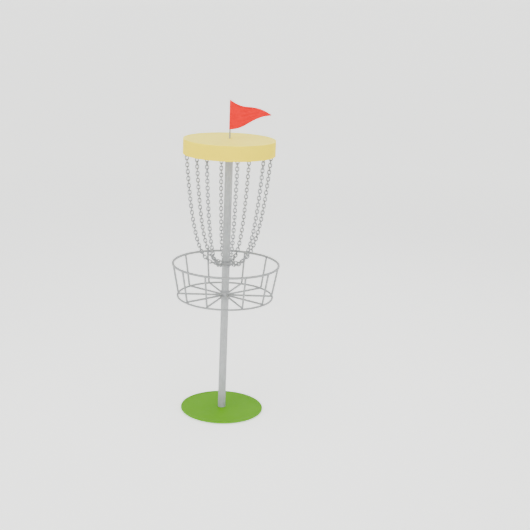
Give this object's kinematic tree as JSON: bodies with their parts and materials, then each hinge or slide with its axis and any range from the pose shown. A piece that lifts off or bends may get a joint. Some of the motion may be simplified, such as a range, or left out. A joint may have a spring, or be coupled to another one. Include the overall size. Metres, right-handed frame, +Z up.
{
  "type": "disc golf basket",
  "caption": "Free-standing disc golf basket: round base, steel pole, wire tray, chains hung from a sheet-metal band with a cover, and a pennant on top.",
  "frame": {"origin": "on the ground, on the axis of the pole", "axes": "+Z up along the pole, +X the way the pennant flies, -Y towards the viewer"},
  "size_m": [0.5573, 0.5574, 1.6435],
  "materials": {
    "green_powder_coat": "satin powder coat",
    "yellow_powder_coat": "satin powder coat",
    "pale_yellow_powder_coat": "satin powder coat",
    "galvanised_tube": "galvanised, dull",
    "galvanised_rod": "galvanised after welding",
    "chain_zinc": "zinc plated",
    "plain_steel": "zinc plated, dull",
    "fastener_zinc": "zinc plated",
    "foot_rubber": "matt",
    "socket_plastic": "matt",
    "staff_steel": "satin",
    "red_fabric": "woven nylon"
  },
  "bodies": {
    "stand": {"base_plate": "green_powder_coat", "base_feet": "foot_rubber", "base_spigot": "plain_steel", "base_bolt": "fastener_zinc", "lower_pole": "galvanised_tube", "pole_screws": "fastener_zinc"},
    "tray": {"tray_hub": "galvanised_rod", "rim_ring": "galvanised_rod", "floor_ring": "galvanised_rod", "rib_01": "galvanised_rod", "rib_02": "galvanised_rod", "rib_03": "galvanised_rod", "rib_04": "galvanised_rod", "rib_05": "galvanised_rod", "rib_06": "galvanised_rod", "rib_07": "galvanised_rod", "rib_08": "galvanised_rod", "rib_09": "galvanised_rod", "rib_10": "galvanised_rod"},
    "head": {"upper_pole": "galvanised_tube", "pole_coupling": "plain_steel", "coupling_rivets": "fastener_zinc", "ring_collar": "galvanised_rod", "ring_spokes": "galvanised_rod", "chain_ring": "galvanised_rod", "head_hub": "plain_steel", "set_screws": "fastener_zinc", "band": "yellow_powder_coat", "band_rivets": "yellow_powder_coat", "cover_ring": "yellow_powder_coat", "top_cover": "pale_yellow_powder_coat", "cover_rivets": "pale_yellow_powder_coat", "flag_socket": "socket_plastic", "support_arm_1": "plain_steel", "support_arm_2": "plain_steel", "support_arm_3": "plain_steel", "support_arm_4": "plain_steel", "support_arm_5": "plain_steel", "support_arm_6": "plain_steel", "support_arm_7": "plain_steel", "support_arm_8": "plain_steel"},
    "chain_strand_1": {"s_hook_1": "chain_zinc", "chain_1": "chain_zinc"},
    "chain_strand_2": {"s_hook_2": "chain_zinc", "chain_2": "chain_zinc"},
    "chain_strand_3": {"s_hook_3": "chain_zinc", "chain_3": "chain_zinc"},
    "chain_strand_4": {"s_hook_4": "chain_zinc", "chain_4": "chain_zinc"},
    "chain_strand_5": {"s_hook_5": "chain_zinc", "chain_5": "chain_zinc"},
    "chain_strand_6": {"s_hook_6": "chain_zinc", "chain_6": "chain_zinc"},
    "chain_strand_7": {"s_hook_7": "chain_zinc", "chain_7": "chain_zinc"},
    "chain_strand_8": {"s_hook_8": "chain_zinc", "chain_8": "chain_zinc"},
    "staff": {"flag_staff": "staff_steel"},
    "pennant": {"flag": "red_fabric"}
  },
  "joints": [
    {"name": "tray_lift_off", "type": "slide", "parent": "stand", "child": "tray", "axis": [0, 0, 1], "range_m": [0, 0.14]},
    {"name": "head_lift_off", "type": "slide", "parent": "tray", "child": "head", "axis": [0, 0, 1], "range_m": [0, 0.14]},
    {"name": "chain_swing_1", "type": "hinge", "parent": "head", "child": "chain_strand_1", "pos_m": [0.21489, 0.0302, 1.416], "axis": [0.2683, 0.0377, 0.9626], "range_deg": [-15, 15]},
    {"name": "chain_swing_2", "type": "hinge", "parent": "head", "child": "chain_strand_2", "pos_m": [0.1085, 0.18793, 1.416], "axis": [0.1355, 0.2347, 0.9626], "range_deg": [-15, 15]},
    {"name": "chain_swing_3", "type": "hinge", "parent": "head", "child": "chain_strand_3", "pos_m": [-0.04141, 0.21301, 1.416], "axis": [-0.0517, 0.266, 0.9626], "range_deg": [-15, 15]},
    {"name": "chain_swing_4", "type": "hinge", "parent": "head", "child": "chain_strand_4", "pos_m": [-0.171, 0.1336, 1.416], "axis": [-0.2135, 0.1668, 0.9626], "range_deg": [-15, 15]},
    {"name": "chain_swing_5", "type": "hinge", "parent": "head", "child": "chain_strand_5", "pos_m": [-0.21489, -0.0302, 1.416], "axis": [-0.2683, -0.0377, 0.9626], "range_deg": [-15, 15]},
    {"name": "chain_swing_6", "type": "hinge", "parent": "head", "child": "chain_strand_6", "pos_m": [-0.1085, -0.18793, 1.416], "axis": [-0.1355, -0.2347, 0.9626], "range_deg": [-15, 15]},
    {"name": "chain_swing_7", "type": "hinge", "parent": "head", "child": "chain_strand_7", "pos_m": [0.04141, -0.21301, 1.416], "axis": [0.0517, -0.266, 0.9626], "range_deg": [-15, 15]},
    {"name": "chain_swing_8", "type": "hinge", "parent": "head", "child": "chain_strand_8", "pos_m": [0.171, -0.1336, 1.416], "axis": [0.2135, -0.1668, 0.9626], "range_deg": [-15, 15]},
    {"name": "flag_staff_lift", "type": "slide", "parent": "head", "child": "staff", "axis": [0, 0, 1], "range_m": [0, 0.07]},
    {"name": "flag_turn", "type": "hinge", "parent": "staff", "child": "pennant", "pos_m": [0, 0, 1.55], "axis": [0, 0, 1], "continuous": true}
  ]
}
